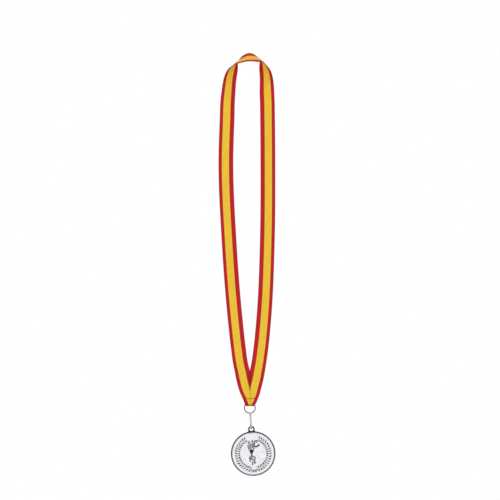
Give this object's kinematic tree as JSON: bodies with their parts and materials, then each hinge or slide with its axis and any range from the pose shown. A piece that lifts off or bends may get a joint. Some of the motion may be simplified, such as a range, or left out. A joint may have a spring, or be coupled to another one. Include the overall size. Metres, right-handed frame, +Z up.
{
  "type": "medal on a neck ribbon",
  "caption": "Round relief medal with a laurel wreath and a torch, hung by a split ring and a jump ring from a striped neck ribbon sewn to a point.",
  "frame": {"origin": "under the ribbon at the top of its loop, where a neck, a hand or a peg holds it", "axes": "+Z up along the hanging ribbon, +X to the right of the medal's face, +Y away from the viewer; the medal's face looks along -Y"},
  "size_m": [0.0637, 0.026, 0.4749],
  "materials": {
    "woven_ribbon": "woven satin band, red edges and a yellow middle",
    "sewing_thread": "twisted polyester thread",
    "ring_wire": "bright nickel-plated steel wire",
    "medal_silver": "antique silver plate on a zinc casting, darkened in the recesses"
  },
  "bodies": {
    "ribbon": {"ribbon": "woven_ribbon", "cross_stitch_needle_thread": "sewing_thread", "cross_stitch_bobbin_thread": "sewing_thread", "mitre_seam_thread": "sewing_thread"},
    "ribbon_ring": {"ribbon_ring": "ring_wire"},
    "split_ring": {"split_ring": "ring_wire"},
    "medal": {"medal": "medal_silver"}
  },
  "joints": [
    {"name": "ring_swing", "type": "hinge", "parent": "ribbon", "child": "ribbon_ring", "pos_m": [0, -0.005, -0.39055], "axis": [1, 0, 0], "range_deg": [-15, 15]},
    {"name": "link_swing", "type": "hinge", "parent": "ribbon_ring", "child": "split_ring", "pos_m": [0.00045, -0.005, -0.39988], "axis": [0.9973, 0, 0.0732], "range_deg": [-95, 95]},
    {"name": "medal_swing", "type": "hinge", "parent": "split_ring", "child": "medal", "pos_m": [0.00177, -0.005, -0.41786], "axis": [0, 1, 0], "range_deg": [-95, 95]}
  ]
}
